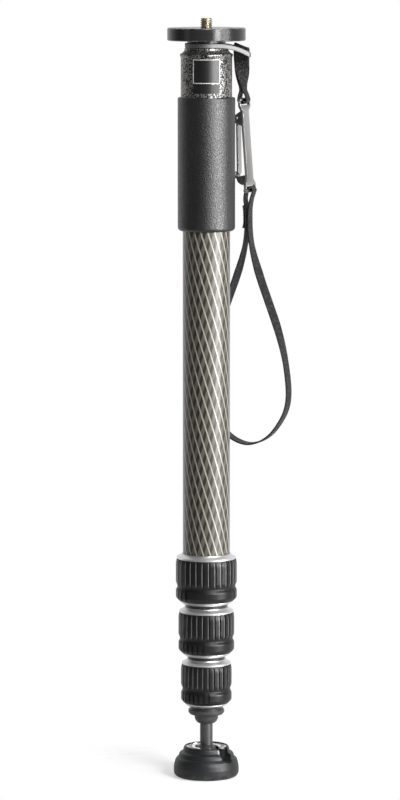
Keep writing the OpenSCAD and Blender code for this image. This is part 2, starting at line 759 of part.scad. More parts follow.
module clip_body() {
    ear_y = gate_w / 2 + move_gap;
    color(steel) in_clip_frame() difference() {
        union() {
            rotate([90, 0, 90]) linear_extrude(clip_t, center = true) clip_outline();
            eye_bar(0);
            eye_bar(clip_l);
            clip_hook();
            for (side = [-1, 1])
                translate([0, side * (ear_y + ear_t / 2), 0]) across_clip(ear_t)
                    polygon([
                        [0, gate_pivot.y - 7], gate_pivot + [-1.6, -3.5], gate_pivot + [-2.2, 1.5], [0, gate_pivot.y + 6]
                    ]);
        }
        translate([gate_pivot.x, 0, gate_pivot.y]) rotate([90, 0, 0])
            cylinder(d = gate_pin_d + 2 * bond, h = 4 * gate_w, center = true);
    }
}

module clip_gate() {
    half = gate_t / 2;
    color(steel) in_clip_frame() difference() {
        union() {
            intersection() {
                across_clip(gate_w) polygon([
                    [gate_foot.x - half, gate_foot.y], [gate_foot.x + half, gate_foot.y],
                    [gate_pivot.x + half, gate_pivot.y], [gate_pivot.x - half, gate_pivot.y]
                ]);
                // The gate's lower end is round
                rotate([90, 0, 90]) linear_extrude(4 * hook_reach, center = true)
                    translate([0, gate_foot.y + gate_w / 2]) {
                        circle(d = gate_w);
                        translate([-gate_w / 2, 0]) square([gate_w, gate_pivot.y]);
                    }
            }
            translate([gate_pivot.x, 0, gate_pivot.y]) rotate([90, 0, 0])
                cylinder(r = gate_pin_d / 2 + 1.2, h = gate_w, center = true);
        }
        translate([gate_pivot.x, 0, gate_pivot.y]) rotate([90, 0, 0])
            cylinder(d = gate_pin_d + 2 * slide_clear, h = gate_w + 1, center = true);
    }
}

module gate_pin() {
    length = gate_w + 2 * (move_gap + ear_t);
    color(steel) in_clip_frame() translate([gate_pivot.x, 0, gate_pivot.y]) rotate([90, 0, 0])
        cylinder(d = gate_pin_d, h = length, center = true);
}

camera_screw();
head_disc();
disc_set_screws();
head_collar();
name_plate();
name_strip();
grip_sleeve();
tube(0);  // tube_1
for (i = INNER_TUBES) {
    tube(i);
    guide(i);
}
for (i = LOCKS) {
    lock_bush(i);
    lock_collet(i);
    lock_nut(i);
    lock_grip(i);
    lock_seal(i);
}
end_plug();
foot_shaft();
ball_seat();
foot_cup();
cup_ring();
foot_pad();
strap_ring();
strap_link();
clip_body();
clip_gate();
gate_pin();
wrist_loop();
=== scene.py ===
# %% [markdown]
# # A camera monopod, dressed from its solids
# A monopod is one telescopic leg for a camera: a round plate on top, a rubber grip, a carbon tube with three
# twist locks, and a swivel foot. The solids are already at their real size, so this lesson does the looks:
# the camera, the light, the soft strap, and a finish for every surface. All lengths are in metres, +Z is up,
# and the middle of the foot's underside is the origin.

import math

import bmesh
import bpy
import numpy as np
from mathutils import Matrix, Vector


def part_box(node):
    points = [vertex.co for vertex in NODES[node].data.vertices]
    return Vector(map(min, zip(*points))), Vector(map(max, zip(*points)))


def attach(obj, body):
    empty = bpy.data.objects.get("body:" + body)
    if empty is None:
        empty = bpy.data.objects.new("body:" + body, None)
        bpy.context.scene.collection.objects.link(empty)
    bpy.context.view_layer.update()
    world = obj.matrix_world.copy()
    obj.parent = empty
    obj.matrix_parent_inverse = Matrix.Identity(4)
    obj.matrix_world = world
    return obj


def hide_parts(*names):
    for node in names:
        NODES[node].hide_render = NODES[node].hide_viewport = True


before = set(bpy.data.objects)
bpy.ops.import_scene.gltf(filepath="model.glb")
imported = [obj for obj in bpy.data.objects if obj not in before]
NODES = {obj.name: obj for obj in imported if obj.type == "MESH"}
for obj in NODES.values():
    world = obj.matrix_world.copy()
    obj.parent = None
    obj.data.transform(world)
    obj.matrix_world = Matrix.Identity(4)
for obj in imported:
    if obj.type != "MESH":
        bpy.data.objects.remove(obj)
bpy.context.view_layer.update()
MM = 0.001

# %% [markdown]
# ## Camera
# The photograph was taken from about three metres away with a long lens, a little above the camera plate, and
# it looks down on the foot more than on the plate. A long lens from the same place gives the same ellipses.
# The camera tilts down a little instead of shifting its sensor, so that every other view stays centred.

# %% Camera
CAMERA_PLACE = np.array([-0.005, -3.2, 0.676])
AIM = np.array([-0.005, 0.0, 0.2993])
LENS_MM = 185.0
SENSOR_MM = 36
CLIP_END = 60


def look_at(place, aim):
    """Turns -Z along the line from a place to its aim, with Y kept upwards."""
    back = (place - aim) / np.linalg.norm(place - aim)
    right = np.cross([0.0, 0.0, 1.0], back)
    right = right / np.linalg.norm(right)
    up = np.cross(back, right)
    turn = np.eye(4)
    turn[:3, :3] = np.stack([right, up, back], axis=1)
    turn[:3, 3] = place
    return turn.T


camera = bpy.data.objects.new("photo_camera", bpy.data.cameras.new("photo_camera"))
camera.data.sensor_width = SENSOR_MM
camera.data.lens = LENS_MM
camera.data.clip_end = CLIP_END
camera.matrix_world = look_at(CAMERA_PLACE, AIM)
bpy.context.scene.collection.objects.link(camera)
bpy.context.scene.camera = camera
pitch = math.degrees(math.atan2(CAMERA_PLACE[2] - AIM[2], AIM[1] - CAMERA_PLACE[1]))
print("camera looks down by", round(pitch, 2), "degrees")

# %% [markdown]
# ## Writing shader nodes
# A finish is a short formula over the place on a surface, and boxes joined by hand are a slow way to write
# one. Here one class stands for an output of a node, and Python's operators on it add the Math nodes. A
# second class stands for the whole tree, and has one method for any other node. Painted images could do the
# same job, but a formula keeps its real size in metres on every piece.

# %% Sockets
class Sock:
    """One output in a node tree. Python's operators on it add Math nodes, so a finish reads as a formula."""

    def __init__(self, finish, node, out):
        self.finish = finish
        self.node = node
        self.socket = node.outputs[out]

    def out(self, key):
        """Another output of the same node."""
        return Sock(self.finish, self.node, key)

    def math(self, operation, *others):
        """A Math node on this value and others."""
        return self.finish.node("ShaderNodeMath", dict(enumerate((self,) + others)), operation=operation)

    def __add__(self, other):
        return self.math("ADD", other)

    __radd__ = __add__

    def __sub__(self, other):
        return self.math("SUBTRACT", other)

    def __rsub__(self, other):
        return self.finish.node("ShaderNodeMath", {0: other, 1: self}, operation="SUBTRACT")

    def __mul__(self, other):
        return self.math("MULTIPLY", other)

    def __truediv__(self, other):
        return self.math("DIVIDE", other)

    def __pow__(self, other):
        return self.math("POWER", other)

    def __abs__(self):
        return self.math("ABSOLUTE")

    def fract(self):
        """The part after the decimal point, which repeats a pattern."""
        return self.math("FRACT")


print("a socket understands:", [name for name in vars(Sock) if not name.startswith("__")])


# %% Finishes
class Finish:
    """The node tree of a material or of the world while it is being written."""

    def __init__(self, owner):
        owner.use_nodes = True
        self.owner = owner
        self.tree = owner.node_tree
        self.tree.nodes.clear()

    def node(self, kind, inputs=(), out=0, **settings):
        """Adds a node: its settings first, then the values or links of its sockets. Gives one output."""
        made = self.tree.nodes.new(kind)
        for name, value in settings.items():
            setattr(made, name, value)
        for key, value in dict(inputs).items():
            if isinstance(value, Sock):
                self.tree.links.new(value.socket, made.inputs[key])
            else:
                made.inputs[key].default_value = value
        return Sock(self, made, out) if made.outputs else None

    def place(self):
        """Where a point lies on the piece, in metres, with its three parts."""
        spot = self.node("ShaderNodeTexCoord", out="Object")
        x = self.node("ShaderNodeSeparateXYZ", {0: spot})
        return spot, x, x.out(1), x.out(2)

    def grain(self, spot, scale, detail=2.0, stretch=None, distortion=0.0):
        """Noise from 0 to 1; a scale of 1000 gives grains of about a millimetre."""
        if stretch is not None:
            spot = self.node("ShaderNodeVectorMath", {0: spot, 1: stretch}, operation="MULTIPLY")
        return self.node(
            "ShaderNodeTexNoise", {"Vector": spot, "Scale": scale, "Detail": detail, "Distortion": distortion}
        )

    def lathe_lines(self, x, y, z, scale):
        """Noise over radius and height alone: the rings that a lathe's tool leaves."""
        return self.grain(self.node("ShaderNodeCombineXYZ", {0: from_axis(x, y), 2: z}), scale)

    def step(self, value, low, high):
        """A smooth step from 0 below low to 1 above high."""
        return self.node("ShaderNodeMapRange", {0: value, 1: low, 2: high}, interpolation_type="SMOOTHSTEP")

    def mix(self, share, first, second):
        """A colour between two colours."""
        return self.node("ShaderNodeMix", {0: share, 6: first, 7: second}, out=2, data_type="RGBA")

    def bump(self, height, distance, strength=1.0):
        """A normal from a height map whose full height is a distance in metres."""
        return self.node("ShaderNodeBump", {"Strength": strength, "Distance": distance, "Height": height})

    def close(self, **sockets):
        """Ends a material with a Principled shader, whose sockets are named with _ for each space."""
        named = {key.replace("_", " "): value for key, value in sockets.items()}
        shader = self.node("ShaderNodeBsdfPrincipled", named)
        self.node("ShaderNodeOutputMaterial", {"Surface": shader})
        return self.owner


def new_finish(name):
    """A Finish on a new material."""
    return Finish(bpy.data.materials.new(name))


def grey(level, warm=0.0):
    """A neutral colour, a little redder and less blue where warm is above 0."""
    return (level * (1 + warm), level, level * (1 - warm), 1.0)


def from_axis(x, y):
    """Distance from the object's upright axis: the root of x squared plus y squared."""
    return (x * x + y * y) ** 0.5


print("a finish understands:", [name for name in vars(Finish) if not name.startswith("__")])

# %% [markdown]
# ## Light and floor
# The photograph is a catalogue shot: a white sweep, large soft light from the right of the camera, a weak
# fill at the left, and a soft shadow. The white comes from the world and the floor, which are white to the
# camera and to reflections of what lies behind the object. In front the studio is dark, and that is what
# gives the metal and the rubber their dark flanks beside the bright stripe of a soft box.
#
# Away from the foot the floor lets the camera through to the white world, and its underside lets the lamps
# through. So the sections can still be seen when they are drawn out downwards, and a small round patch of
# floor stays to carry the shadow.

# %% World
STUDIO_FRONT = 0.07
STUDIO_RISE = 0.82
BACK_FROM, BACK_TO = 0.0, 0.85
FILL_SHARE = 0.5
bpy.context.scene.view_settings.view_transform = "Standard"
world = Finish(bpy.data.worlds.new("studio"))
bpy.context.scene.world = world.owner
sky = world.node("ShaderNodeTexCoord", out="Generated")
depth = world.node("ShaderNodeSeparateXYZ", {0: sky}, out=1)
studio = world.step(depth, BACK_FROM, BACK_TO) * STUDIO_RISE + STUDIO_FRONT
seen = world.node("ShaderNodeLightPath", out="Is Camera Ray")
mirror = seen.out("Is Glossy Ray").math("MAXIMUM", seen.out("Is Transmission Ray"))
fill = studio * (mirror * (1 - FILL_SHARE) + FILL_SHARE)
glow = fill + seen * (1 - fill)
backdrop = world.node("ShaderNodeBackground", {"Color": grey(1.0), "Strength": glow})
world.node("ShaderNodeOutputWorld", {"Surface": backdrop})
print("the studio shines from", STUDIO_FRONT, "in front to", round(STUDIO_FRONT + STUDIO_RISE, 2), "behind")

# %% Floor
FLOOR_REACH = 6.0
FLOOR_Z = -0.3 * MM
SHADOW_PATCH = (0.065, 0.16)
LIT_PATCH = (0.22, 0.75)
BEHIND = (-0.15, 0.6)
PAPER_GREY = 0.72
PAPER_LIFT = 0.5
DIM_FRONT = 0.05
DIM_RISE = 0.3
paper = new_finish("white_sweep")
rays = paper.node("ShaderNodeLightPath", out="Is Camera Ray")
mirrored = rays.out("Is Glossy Ray").math("MAXIMUM", rays.out("Is Transmission Ray"))
x, y = paper.place()[1:3]
behind = paper.step(y, *BEHIND)
seen = rays.math("MAXIMUM", mirrored * behind)
white = paper.node("ShaderNodeBsdfDiffuse", {"Color": grey(PAPER_GREY)})
lift = paper.node("ShaderNodeEmission", {"Strength": seen * PAPER_LIFT})
near = paper.node("ShaderNodeAddShader", {0: white, 1: lift})
dim = behind * DIM_RISE + DIM_FRONT
far = paper.node("ShaderNodeEmission", {"Strength": seen * (1 - dim) + dim})
around = from_axis(x, y)
sheet = paper.node("ShaderNodeMixShader", {0: paper.step(around, *LIT_PATCH), 1: near, 2: far})
under = paper.node("ShaderNodeNewGeometry", out="Backfacing")
open_floor = paper.step(around, *SHADOW_PATCH).math("MAXIMUM", under)
clear = rays * open_floor + rays.out("Is Shadow Ray") * under
nothing = paper.node("ShaderNodeBsdfTransparent")
window = paper.node("ShaderNodeMixShader", {0: clear, 1: sheet, 2: nothing})
paper.node("ShaderNodeOutputMaterial", {"Surface": window})
floor_ends = np.array([-FLOOR_REACH, FLOOR_REACH])
floor_points = np.stack(np.meshgrid(floor_ends, floor_ends, [FLOOR_Z], indexing="ij"), axis=-1)[:, :, 0]
floor_mesh = bpy.data.meshes.new("floor")
floor_mesh.from_pydata(floor_points.reshape(-1, 3).tolist(), [], [[0, 2, 3, 1]])
floor_mesh.materials.append(paper.owner)
floor = bpy.data.objects.new("floor", floor_mesh)
bpy.context.scene.collection.objects.link(floor)
print("floor faces:", len(floor_mesh.polygons))

# %% Lamps
# Place, aim, width, height and power in watts
LAMPS = {
    "key_high": ((0.76, -1.16, 0.9), (0, 0, 0.6), 0.42, 0.75, 22),
    "key_low": ((1.28, -0.79, 0.28), (0, 0, 0.3), 0.62, 0.32, 20),
    "fill_box": ((-1.5, -0.9, 0.7), (0, 0, 0.3), 0.5, 1.2, 0.6),
    "top_box": ((0.25, 0.1, 1.9), (0, 0, 0.3), 0.9, 0.9, 9),
}


def soft_box(name, place, aim, size_x, size_y, power):
    """A rectangular area lamp at a place, facing its aim."""
    lamp = bpy.data.lights.new(name, "AREA")
    lamp.shape = "RECTANGLE"
    lamp.size = size_x
    lamp.size_y = size_y
    lamp.energy = power
    box = bpy.data.objects.new(name, lamp)
    box.matrix_world = look_at(np.array(place), np.array(aim))
    bpy.context.scene.collection.objects.link(box)


for name, settings in LAMPS.items():
    soft_box(name, *settings)
print("lamps:", list(LAMPS))

# %% [markdown]
# ## Surfaces from arrays
# Every new piece here is a grid of points that numpy works out at once: rows along a path, columns round a
# profile. Turning a grid into a mesh is the same job each time, so one helper does it. It also writes a UV
# map in metres, because the webbing's weave has to follow the webbing and not the room.

# %% Grid to mesh
def grid_quads(rows, cols, close_rows):
    """Quads of a grid: each joins a point to the next one along its row, along its column, and across."""
    last_row = rows if close_rows else rows - 1
    i, j = [part.ravel() for part in np.meshgrid(np.arange(last_row), np.arange(cols), indexing="ij")]
    corner_i = np.stack([i, i, i + 1, i + 1], axis=1)
    corner_j = np.stack([j, j + 1, j + 1, j], axis=1)
    return corner_i, corner_j


def grid_piece(name, points, body, close_rows=False, caps=False, uv=None):
    """Makes a mesh object from a grid of points, or from a stack of equal grids, and lets it ride on a body
    of the frame. Each row is a closed ring. Caps close the first and the last row."""
    rows, cols = points.shape[-3:-1]
    corner_i, corner_j = grid_quads(rows, cols, close_rows)
    starts = np.arange(points.size // (3 * rows * cols)) * rows * cols
    quads = (corner_i % rows) * cols + corner_j % cols
    faces = (starts[:, None, None] + quads).reshape(-1, 4).tolist()
    if caps:
        ends = np.stack([np.arange(cols), np.arange((rows - 1) * cols, rows * cols)])
        faces += (starts[:, None, None] + ends).reshape(-1, cols).tolist()
    mesh = bpy.data.meshes.new(name)
    mesh.from_pydata(points.reshape(-1, 3).tolist(), [], faces)
    if uv is not None:
        layer = mesh.uv_layers.new(name="cloth")
        values = np.zeros((len(mesh.loops), 2))
        values[:4 * len(corner_i), 0] = uv[0][corner_i].ravel()
        values[:4 * len(corner_i), 1] = uv[1][corner_j].ravel()
        layer.data.foreach_set("uv", values.ravel())
    return finish_mesh(name, mesh, body)


def finish_mesh(name, mesh, body):
    """Points the faces outwards, shades them smooth, and hands the piece to the frame."""
    work = bmesh.new()
    work.from_mesh(mesh)
    bmesh.ops.recalc_face_normals(work, faces=work.faces)
    work.to_mesh(mesh)
    work.free()
    mesh.polygons.foreach_set("use_smooth", [True] * len(mesh.polygons))
    piece = bpy.data.objects.new(name, mesh)
    bpy.context.scene.collection.objects.link(piece)
    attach(piece, body)
    return piece


print("a grid of 3 by 4, closed round, has", len(grid_quads(3, 4, False)[0]), "quads")

# %% [markdown]
# ## Paths and profiles
# A strap is a flat profile carried along a path, and a rivet is an outline turned about an axis. The path
# goes through a few known points. Curve objects with a bevel could do it too, but then the twist of the
# webbing and its change of width would be hard to steer.

# %% Paths
def unit(vectors):
    """Vectors of length one."""
    return vectors / np.linalg.norm(vectors, axis=-1, keepdims=True)


def sweep(path, wide, profile, closed, share=1.0):
    """Carries a flat profile along a path: the profile's x times a share goes along the width, and its y goes
    along the direction of travel crossed with the width."""
    if closed:
        along = unit(np.roll(path, -1, axis=0) - np.roll(path, 1, axis=0))
    else:
        along = unit(np.gradient(path, axis=0))
    out = unit(np.cross(along, wide))
    across = np.cross(out, along)
    x = profile[None, :, :1] * np.reshape(share, (-1, 1, 1))
    return path[:, None] + across[:, None] * x + out[:, None] * profile[None, :, 1:]


def smooth_path(points, per_span, closed):
    """A curve through every point: between two points it is a cubic whose slope at each end is half the step
    between that point's neighbours."""
    if closed:
        before, after = np.roll(points, 1, axis=0), np.roll(points, -1, axis=0)
        beyond = np.roll(points, -2, axis=0)
        start = points
    else:
        padded = np.concatenate([2 * points[:1] - points[1:2], points, 2 * points[-1:] - points[-2:-1]])
        before, start, after, beyond = padded[:-3], padded[1:-2], padded[2:-1], padded[3:]
    t = (np.arange(per_span) / per_span)[None, :, None]
    slope_0, slope_1 = (after - before)[:, None] / 2, (beyond - start)[:, None] / 2
    start, after = start[:, None], after[:, None]
    curve = (
        (2 * t ** 3 - 3 * t ** 2 + 1) * start + (t ** 3 - 2 * t ** 2 + t) * slope_0
        + (3 * t ** 2 - 2 * t ** 3) * after + (t ** 3 - t ** 2) * slope_1
    ).reshape(-1, points.shape[1])
    return curve if closed else np.concatenate([curve, points[-1:]])


def length_along(path, closed):
    """Distance run at each point of a path; a closed path has one more value, its whole length."""
    ring = np.concatenate([path, path[:1]]) if closed else path
    steps = np.linalg.norm(np.diff(ring, axis=0), axis=1)
    return np.concatenate([[0.0], np.cumsum(steps)])


unit_square = np.array([[0, 0, 0], [1, 0, 0], [1, 1, 0], [0, 1, 0]])
around_square = length_along(smooth_path(unit_square, 8, closed=True), closed=True)
print("length of a smoothed square:", round(around_square[-1], 3))


# %% Profiles
def strip_profile(width, thick, arc=5, flat=7):
    """A flat strip with round edges: two half circles as wide as the strip is thick, and straight faces."""
    turn = np.linspace(-np.pi / 2, np.pi / 2, arc)
    inset = width / 2 - thick / 2
    edge = np.stack([inset + thick / 2 * np.cos(turn), thick / 2 * np.sin(turn)], axis=1)
    run = np.linspace(inset, -inset, flat + 2)[1:-1]
    face = np.stack([run, np.full(flat, thick / 2)], axis=1)
    half = np.concatenate([edge, face])
    return np.concatenate([half, -half])


def turned(outline, count):
    """Turns an outline of radius and height about Z: each row is a circle, one point of the outline."""
    heading = np.linspace(0, 2 * np.pi, count, endpoint=False)[None]
    return ring_grid(outline[:, :1], heading, outline[:, 1:])


def ring_grid(radius, heading, height):
    """Points at a radius, heading and height: radius times cosine, radius times sine, and the height."""
    x, y = radius * np.cos(heading), radius * np.sin(heading)
    return np.stack([x, y, np.broadcast_to(height, x.shape)], axis=-1)


def strap_uv(run, profile):
    """Metres along a path and across its profile, whose first point comes again at the end."""
    return run, np.append(profile[:, 0], profile[0, 0])


print("strip profile has", len(strip_profile(0.012, 0.0013)), "points")

# %% [markdown]
# ## Wrist loop
# The strap hangs in one upright plane that is turned towards the front. Its long loop is 12 mm nylon webbing,
# sewn to itself just under the clip. The route's points are the same round numbers as in the solids, and a
# smooth curve runs through them. The webbing turns a little out of square as it goes, and the clip's bar
# draws it together.

# %% Strap plane
STRAP_TURN = math.radians(-30)
STRAP_MID = np.array([33.0, 11.0, 0.0]) * MM
CLIP_FOOT = np.array([34.2, 11.0, 463.0]) * MM
CLIP_LEAN = math.radians(4.65)
CLIP_L = 71 * MM
WEB_W = 12 * MM
WEB_T = 1.3 * MM
WRAP_R = 2.8 * MM
WRAP_U = 3.65 * MM
WRAP_SKEW = math.radians(12)
WRAP_SHARE = 0.8
PER_SPAN = 8
STRAP_OUT = np.array([math.cos(STRAP_TURN), math.sin(STRAP_TURN), 0.0])
STRAP_WIDE = np.array([-math.sin(STRAP_TURN), math.cos(STRAP_TURN), 0.0])
UP = np.array([0.0, 0.0, 1.0])


def in_strap_plane(u, z):
    """Points of the strap's plane: distance from its middle, and height."""
    return STRAP_MID + np.multiply.outer(u, STRAP_OUT) + np.multiply.outer(z, UP)


def on_clip(u, h):
    """Points of the clip's own plane: u outwards, h up from its lower bar, leaning with the clip."""
    u, h = np.asarray(u), np.asarray(h)
    out = u * math.cos(CLIP_LEAN) - h * math.sin(CLIP_LEAN)
    rise = h * math.cos(CLIP_LEAN) + u * math.sin(CLIP_LEAN)
    return CLIP_FOOT + np.multiply.outer(out, STRAP_OUT) + np.multiply.outer(rise, UP)


def upright_wide(turn):
    """Level directions across webbing whose face looks along a heading."""
    return np.stack([-np.sin(turn), np.cos(turn), np.zeros_like(turn)], axis=-1)


print("upper bar of the clip:", on_clip(0.0, CLIP_L).round(4).tolist())

# %% Wrist loop
WRIST_SIDE = MM * np.array([
    [2.7, 456], [1.4, 448.5], [1.1, 440], [1.4, 432], [2.6, 422], [5.6, 410], [11.4, 393], [18.6, 375],
    [26.4, 355], [32.2, 335], [35.4, 316], [36, 302], [33.6, 291], [28, 281], [20.4, 272], [11, 266],
])
WRIST_FOOT_Z = 263.5 * MM
# Height in mm, and how far the webbing is turned there, in degrees
WRIST_TURN = np.array([[330, 10], [360, 0], [400, 0], [420, 12]])
# Between these heights in mm the clip's bar draws the webbing together
WRAP_FROM_Z, WRAP_TO_Z = 438, 456
near_wrap = np.radians([90, 60, 20, -20])
far_wrap = np.radians([200, 160, 120])
wrist_points = np.concatenate([
    on_clip(WRAP_U * np.cos(near_wrap), WRAP_R * np.sin(near_wrap)),
    in_strap_plane(WRIST_SIDE[:, 0], WRIST_SIDE[:, 1]),
    in_strap_plane(np.array([0.0]), np.array([WRIST_FOOT_Z])),
    in_strap_plane(-WRIST_SIDE[::-1, 0], WRIST_SIDE[::-1, 1]),
    on_clip(WRAP_U * np.cos(far_wrap), WRAP_R * np.sin(far_wrap)),
])
wrist_path = smooth_path(wrist_points, PER_SPAN, closed=True)
wrist_run = length_along(wrist_path, closed=True)
wrist_z = wrist_path[:, 2] / MM
wrist_turn = np.radians(np.interp(wrist_z, WRIST_TURN[:, 0], WRIST_TURN[:, 1]))
wrist_wide = upright_wide(STRAP_TURN + wrist_turn)
wrist_share = np.interp(wrist_z, [WRAP_FROM_Z, WRAP_TO_Z], [1.0, WRAP_SHARE])
web_profile = strip_profile(WEB_W, WEB_T)
wrist_grid = sweep(wrist_path, wrist_wide, web_profile, closed=True, share=wrist_share)
wrist = grid_piece(
    "wrist_webbing", wrist_grid, "strap", close_rows=True, uv=strap_uv(wrist_run, web_profile)
)
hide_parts("wrist_loop")
print("wrist loop length:", round(wrist_run[-1], 4))

# %% [markdown]
# ## Short loop
# A short piece of the same webbing hangs from the band at the neck and carries the clip. It folds over the
# band's rear strand, twists by a quarter turn on its way down, and goes round the clip's upper bar. It is
# swept in the same way, with a width that turns from row to row.

# %% Short loop
# Height in mm, heading and tilt in degrees, half the gap between the layers in mm, share of the full width
LINK_LAYER = np.array([
    [574.2, -18, 22, 1.8, 1], [569.5, -18, 22, 1.75, 1], [566, -14, 18, 1.35, 1], [560, 4, 10, 1.05, 0.97],
    [552, 34, 4, 1, 0.9], [545, 62, 0, 1, 0.82], [541, 70, 0, 1.3, 0.8], [537.5, 72, 0, 2.6, 0.8],
])
LINK_FOLD_Z = 575.8
LINK_SWING_Z = 565.0
LINK_TOP = np.array([27.3, 8.0])
link_bar = on_clip(0.0, CLIP_L) / MM


def link_layer(side):
    """One layer of the short loop: its middle line swings from the band to the clip, and the layer stands
    half a gap to one side of it, square to the webbing."""
    height, turn, gap = LINK_LAYER[:, 0], np.radians(LINK_LAYER[:, 1]), LINK_LAYER[:, 3]
    share = np.minimum(1, (height - link_bar[2]) / (LINK_SWING_Z - link_bar[2]))[:, None]
    mid = link_bar[:2] + (LINK_TOP - link_bar[:2]) * share
    step = side * gap[:, None] * np.stack([-np.sin(turn), np.cos(turn)], axis=1)
    return np.column_stack([mid + step, height]) * MM


link_wrap = np.radians(np.arange(0, -181, -36))
link_round = on_clip(WRAP_U * np.cos(link_wrap), CLIP_L + WRAP_R * np.sin(link_wrap))
link_fold = [np.append(LINK_TOP, LINK_FOLD_Z) * MM]
link_points = np.concatenate([link_layer(-1), link_round, link_layer(1)[::-1], link_fold])
link_lie = LINK_LAYER[:, [1, 2, 4]] * [math.radians(1), math.radians(1), 1]
wrap_lie = np.tile([math.radians(90) + STRAP_TURN + WRAP_SKEW, 0.0, WRAP_SHARE], (len(link_wrap), 1))
lie_points = np.concatenate([link_lie, wrap_lie, link_lie[::-1], link_lie[:1]])
heading, tilt, link_share = smooth_path(lie_points, PER_SPAN, closed=True).T
link_path = smooth_path(link_points, PER_SPAN, closed=True)
link_wide = ring_grid(np.cos(tilt), heading, -np.sin(tilt))
link_run = length_along(link_path, closed=True)
link_grid = sweep(link_path, link_wide, web_profile, closed=True, share=link_share)
link = grid_piece(
    "short_webbing", link_grid, "strap", close_rows=True, uv=strap_uv(link_run, web_profile)
)
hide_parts("strap_link")
print("short loop length:", round(link_run[-1], 4))

# %% [markdown]
# ## Camera screw
# The screw is the one bright warm spot of the object, a brass-coloured 3/8 inch stud with 16 turns to the
# inch. Its solid is plain, so a real helix replaces it: the radius is a function of heading and height, whose
# tooth moves up by one pitch in each turn.

# %% Camera screw
DISC_TOP = 590 * MM
STUD_TOP = 597.5 * MM
STUD_R = 9.525 / 2 * MM
PITCH = 25.4 / 16 * MM
THREAD_DEPTH = 0.85 * MM
THREAD_ROOT, THREAD_FLANK = 0.2, 0.62
TIP_CUT = 0.8 * MM
SHANK_Z = np.array([570.0, 581.0, 581.0, 590.05]) * MM
SHANK_R = np.array([3.175, 3.175, 4.3625, 4.3625]) * MM
STUD_SIDES, STUD_ROWS = 72, 84
BRIGHT_BRASS = (0.78, 0.72, 0.57, 1)
# The darker brass serves both the tarnish grain and the painted shade in the thread's valleys.
SHADE_AND_TARNISH_BRASS = (0.18, 0.155, 0.11, 1)


def stud_grid():
    """Radius over heading and height: a trapezium wave of height minus heading over one pitch, cut by a cone
    at the tip. Below the plate's face it is a plain shank with a thinner lower end."""
    heading = np.linspace(0, 2 * np.pi, STUD_SIDES, endpoint=False)[None]
    thread_z = np.linspace(SHANK_Z[-1], STUD_TOP, STUD_ROWS)
    z = np.concatenate([SHANK_Z, thread_z])[:, None]
    wave = (z - DISC_TOP) / PITCH - heading / (2 * np.pi)
    tooth = np.clip((np.abs(2 * (wave - np.floor(wave)) - 1) - THREAD_ROOT) / THREAD_FLANK, 0, 1)
    tip = STUD_R - TIP_CUT + (STUD_TOP - z)
    radius = np.minimum(STUD_R - THREAD_DEPTH * (1 - tooth), tip)
    radius[:len(SHANK_R)] = SHANK_R[:, None]
    return ring_grid(radius, heading, z)


brass = new_finish("brass_thread")
spot, x, y, z = brass.place()
# Painted shade: the thread's valleys are painted darker toward the dull brass, standing in for the shade in
# the grooves. The slow grain over it is tarnish, the screw's own colour.
shaded_valley = 1 - brass.step(from_axis(x, y), STUD_R - THREAD_DEPTH, STUD_R)
tarnish = brass.grain(spot, 900)
brass_colour = brass.mix(shaded_valley * 0.45 + tarnish * 0.15, BRIGHT_BRASS, SHADE_AND_TARNISH_BRASS)
brass_done = brass.close(
    Base_Color=brass_colour, Metallic=1.0, Roughness=tarnish * 0.15 + 0.34,
    Normal=brass.bump(brass.grain(spot, 4000), 0.00001),
)
screw = grid_piece("camera_screw_thread", stud_grid(), "upper", caps=True)
screw.data.materials.append(brass_done)
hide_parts("camera_screw")
print("screw turns:", round((STUD_TOP - DISC_TOP) / PITCH, 2))

# %% [markdown]
# ## Band at the neck
# A flat steel band goes round the neck under the plate and droops to a square tip, and the strap hangs from
# it. The solid has few sides, so the same plan is swept again with fine steps: an arc round the neck, two
# straight strands, and a small round at each corner of the tip.

# %% Band
BAND_T = 1.2 * MM
BAND_H = 3.7 * MM
BAND_REACH = 34.5 * MM
BAND_R = 16.2 * MM
BAND_MID_Z = 576.35 * MM
BAND_DROOP = 7.5 * MM
TIP_HALF = 6.5 * MM
CORNER_R = 2.5 * MM
CORNER = np.array([BAND_REACH - BAND_T / 2 - CORNER_R, TIP_HALF - CORNER_R])


def polar(radius, angle):
    """Points on a circle."""
    return np.stack([radius * np.cos(angle), radius * np.sin(angle)], axis=-1)


def band_path():
    """The band's middle line: the straight strands touch the neck's circle and the corners' circles alike,
    and the droop grows with the distance from the neck to the power 1.5."""
    reach = np.linalg.norm(CORNER)
    meet = math.atan2(CORNER[1], CORNER[0]) + math.acos((BAND_R - CORNER_R) / reach)
    corner = CORNER + polar(CORNER_R, np.linspace(0, meet, 9))
    arc = polar(BAND_R, np.linspace(meet, 2 * np.pi - meet, 73))
    strand = corner[-1] + (arc[0] - corner[-1]) * np.linspace(0, 1, 15)[1:-1, None]
    side = np.concatenate([corner, strand])
    plan = np.concatenate([side, arc, side[::-1] * [1, -1]])
    out = np.maximum(0, (np.linalg.norm(plan, axis=1) - BAND_R) / (BAND_REACH - BAND_R))
    return np.column_stack([plan, BAND_MID_Z - BAND_DROOP * out ** 1.5])


band_line = band_path()
band_run = length_along(band_line, closed=True)
band_profile = strip_profile(BAND_H, BAND_T, arc=7, flat=3)
band_wide = np.broadcast_to(UP, band_line.shape)
band_grid = sweep(band_line, band_wide, band_profile, closed=True)
band_uv = strap_uv(band_run, band_profile)
band = grid_piece("neck_band", band_grid, "strap", close_rows=True, uv=band_uv)
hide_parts("strap_ring")
brushed = new_finish("brushed_band")
laid = brushed.node("ShaderNodeUVMap", uv_map="cloth")
scratch = brushed.grain(laid, 1.0, detail=3.0, stretch=(90.0, 5200.0, 0.0))
brushed_done = brushed.close(
    Base_Color=brushed.mix(scratch, grey(0.2), grey(0.32)), Metallic=1.0, Roughness=scratch * 0.14 + 0.54,
    Normal=brushed.bump(scratch, 0.00003, 0.6),
)
band.data.materials.append(brushed_done)
print("band length:", round(band_run[-1], 4))
